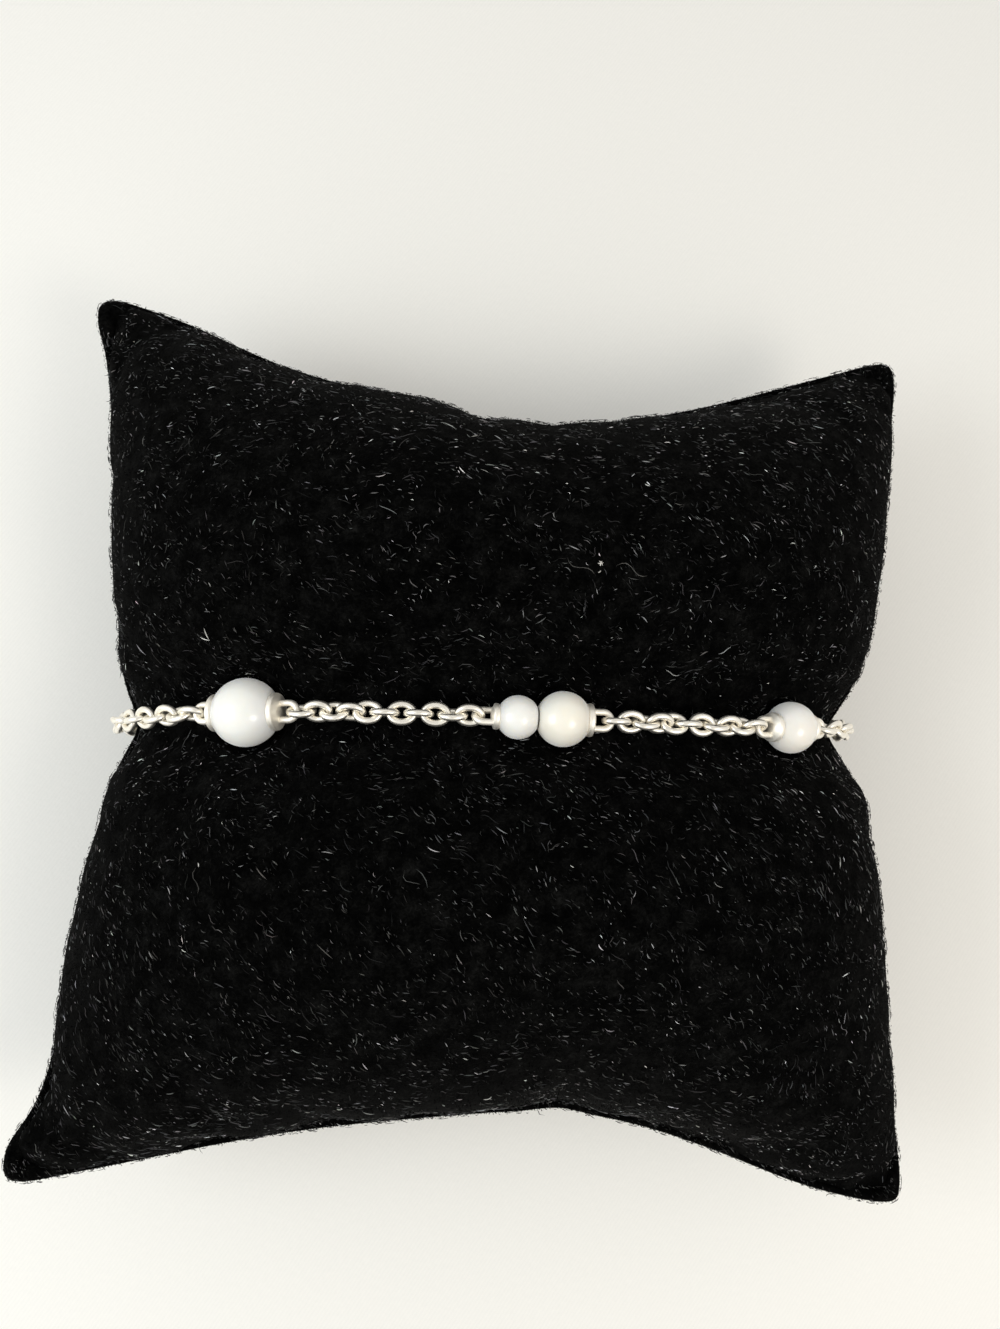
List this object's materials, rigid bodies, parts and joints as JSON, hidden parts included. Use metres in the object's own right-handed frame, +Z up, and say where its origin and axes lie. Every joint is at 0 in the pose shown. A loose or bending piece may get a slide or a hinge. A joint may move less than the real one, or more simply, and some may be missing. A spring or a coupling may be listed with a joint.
{
  "type": "pearl station bracelet on display pillow",
  "caption": "Fine cable-chain bracelet with capped pearl stations and a lobster clasp, fastened round a stuffed square velvet display pillow.",
  "frame": {"origin": "on the table, under the middle of the pillow's bounding box", "axes": "+Z up from the table; +X along the bracelet's top stretch, from the large pearl to the end pearl; +Y away from the viewer"},
  "size_m": [0.1002, 0.1014, 0.0453],
  "materials": {
    "velvet": "black velvet with a short pile",
    "silver": "polished silver",
    "nacre_cool": "cool white pearl lustre",
    "nacre_white": "white pearl lustre",
    "nacre_cream": "cream pearl lustre",
    "nacre_warm": "warm white pearl lustre"
  },
  "bodies": {
    "root": {"pillow": "velvet", "pearl_large": "nacre_cool", "pearl_small": "nacre_white", "pearl_medium": "nacre_cream", "pearl_end": "nacre_warm", "cap_large_left": "silver", "cap_large_right": "silver", "cap_double_left": "silver", "cap_double_right": "silver", "cap_end_left": "silver", "cap_end_right": "silver", "chain_front_left": "silver", "chain_front_right": "silver", "chain_back_left": "silver", "chain_back_right": "silver", "clasp": "silver", "jump_ring_tail": "silver", "jump_ring_mouth": "silver"}
  },
  "joints": []
}
